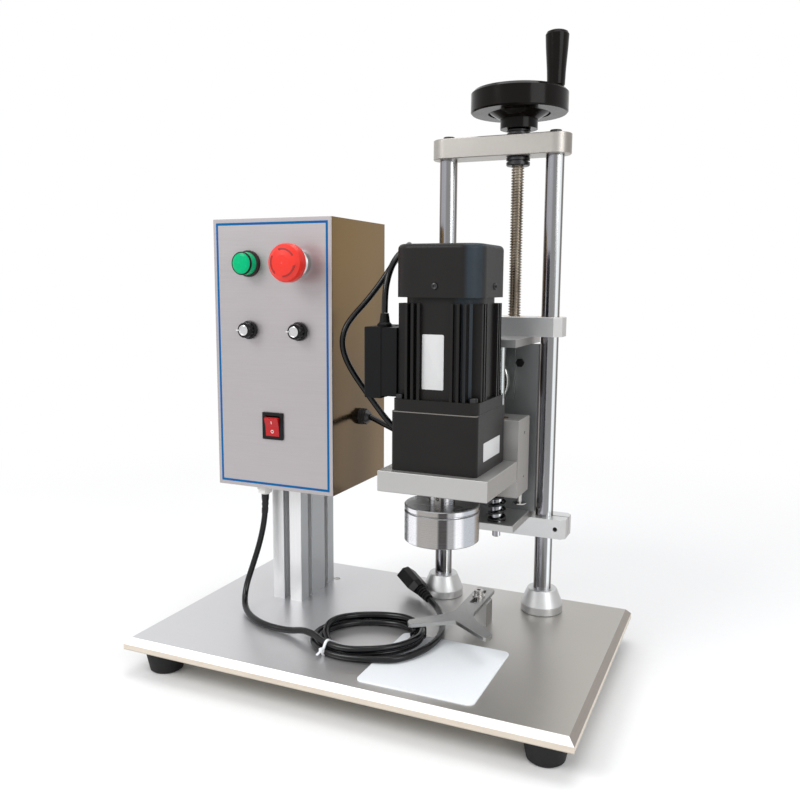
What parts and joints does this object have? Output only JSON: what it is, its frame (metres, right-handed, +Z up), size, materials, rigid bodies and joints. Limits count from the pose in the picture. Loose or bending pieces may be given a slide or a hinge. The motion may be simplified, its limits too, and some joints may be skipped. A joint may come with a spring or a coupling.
{
  "type": "screw capping machine",
  "caption": "Bench-top screw capping machine: motor head with round chuck on a screw-driven carriage between two rods, control box on a post, flat base with a bottle fork.",
  "frame": {"origin": "middle of the base at floor level, under the four feet", "axes": "+Z up, +X to the right seen from the control panel's side, +Y to the back; the panel and the chuck face -Y"},
  "size_m": [0.482, 0.319, 0.682],
  "materials": {
    "deck_aluminium": "brushed top with bright milled edges",
    "plate_aluminium": "satin, bead blasted",
    "profile_aluminium": "satin anodised",
    "hard_chrome": "polished",
    "turned_steel": "turned, satin",
    "box_steel": "brushed stainless sheet",
    "motor_black": "satin black paint over die-cast housings",
    "black_plastic": "matt",
    "gloss_black": "polished bakelite",
    "rubber_black": "matt",
    "cord_black": "semi-gloss sheath",
    "tie_white": "nylon",
    "pad_white": "smooth sheet",
    "red_plastic": "glossy",
    "green_lens": "translucent lens",
    "switch_red": "translucent, glossy",
    "bronze": "turned bronze",
    "screw_steel": "rolled thread, oiled",
    "black_steel": "black oxide",
    "clear_sheet": "clear sheet",
    "insert_rubber": "matt rubber"
  },
  "bodies": {
    "root": {"base_plate": "deck_aluminium", "rubber_feet": "rubber_black", "frame_screws": "black_steel", "guide_rods": "hard_chrome", "rod_sockets": "turned_steel", "top_bar": "plate_aluminium", "profile_post": "profile_aluminium", "bottle_pad": "pad_white", "box_shell": "box_steel", "box_back": "box_steel", "lamp_bezel": "turned_steel", "lamp_lens": "green_lens", "estop_collar": "black_plastic", "speed_controls": "turned_steel", "switch_frame": "black_plastic", "cable_glands": "black_plastic", "power_cord": "cord_black", "cord_coil": "cord_black", "cord_plug": "cord_black", "cord_tie": "tie_white", "motor_cable": "cord_black", "locator_stand": "plate_aluminium", "locator_screw": "turned_steel"},
    "spindle": {"lead_screw": "screw_steel", "thrust_nuts": "black_steel", "handwheel": "gloss_black"},
    "grip": {"handle_grip": "gloss_black"},
    "carriage": {"upper_block": "plate_aluminium", "rod_bushings": "bronze", "screw_nut": "bronze", "shelf_plate": "plate_aluminium", "back_plate": "plate_aluminium", "floor_plate": "plate_aluminium", "clamp_block": "plate_aluminium", "carriage_screws": "black_steel", "guide_shafts": "hard_chrome", "buffer_springs": "black_steel", "lift_motor": "motor_black", "cam_guard": "clear_sheet"},
    "cam": {"lift_cam": "turned_steel"},
    "head": {"slide_block": "plate_aluminium", "slide_bushings": "turned_steel", "cam_follower": "turned_steel", "stop_bolt": "turned_steel", "motor_plate": "plate_aluminium", "gearbox": "motor_black", "motor_body": "motor_black", "motor_screws": "turned_steel", "fan_cover": "motor_black", "terminal_box": "black_plastic"},
    "fan": {"motor_fan": "black_plastic"},
    "chuck": {"output_shaft": "hard_chrome", "chuck_disc": "turned_steel", "chuck_cup": "turned_steel", "chuck_insert": "insert_rubber"},
    "estop": {"estop_button": "red_plastic"},
    "left_knob": {"knob_left": "black_plastic"},
    "right_knob": {"knob_right": "black_plastic"},
    "rocker": {"switch_rocker": "switch_red"},
    "fork": {"locator_fork": "plate_aluminium"}
  },
  "joints": [
    {"name": "handwheel_turn", "type": "hinge", "parent": "root", "child": "spindle", "pos_m": [0.1036, 0.11, 0.566], "axis": [0, 0, 1], "range_deg": [-18000, 7200]},
    {"name": "handle_spin", "type": "hinge", "parent": "spindle", "child": "grip", "pos_m": [0.14438, 0.10571, 0.65], "axis": [0, 0, 1], "continuous": true},
    {"name": "carriage_slide", "type": "slide", "parent": "root", "child": "carriage", "axis": [0, 0, 1], "range_m": [-0.0601, 0.1501], "deforming": ["motor_cable"]},
    {"name": "lift_cam_turn", "type": "hinge", "parent": "carriage", "child": "cam", "pos_m": [0.074, 0.085, 0.31], "axis": [0, 1, 0], "range_deg": [-90.3, 180.6]},
    {"name": "head_lift", "type": "slide", "parent": "carriage", "child": "head", "axis": [0, 0, 1], "range_m": [-0.006, 0.012], "deforming": ["buffer_springs"]},
    {"name": "chuck_spin", "type": "hinge", "parent": "head", "child": "chuck", "pos_m": [0.0765, -0.041, 0.205], "axis": [0, 0, 1], "continuous": true},
    {"name": "fan_spin", "type": "hinge", "parent": "head", "child": "fan", "pos_m": [0.0765, -0.023, 0.42], "axis": [0, 0, 1], "continuous": true},
    {"name": "estop_push", "type": "slide", "parent": "root", "child": "estop", "axis": [0, 1, 0], "range_m": [0, 0.005], "stiffness_N_per_m": 400, "springref_m": -0.002},
    {"name": "knob_left_turn", "type": "hinge", "parent": "root", "child": "left_knob", "pos_m": [-0.169, -0.02, 0.3635], "axis": [0, -1, 0], "range_deg": [-240, 60]},
    {"name": "knob_right_turn", "type": "hinge", "parent": "root", "child": "right_knob", "pos_m": [-0.104, -0.02, 0.3635], "axis": [0, -1, 0], "range_deg": [-240, 60]},
    {"name": "switch_rock", "type": "hinge", "parent": "root", "child": "rocker", "pos_m": [-0.1405, -0.011, 0.255], "axis": [1, 0, 0], "range_deg": [-20, 0]},
    {"name": "locator_slide", "type": "slide", "parent": "root", "child": "fork", "axis": [0, 1, 0], "range_m": [-0.012, 0.012]}
  ],
  "couplings": [
    {"joint": "carriage_slide", "follows": "handwheel_turn", "m_per_rad": -0.00047746},
    {"joint": "lift_cam_turn", "follows": "head_lift", "rad_per_m": 261.8},
    {"joint": "fan_spin", "follows": "chuck_spin", "ratio": 5}
  ]
}
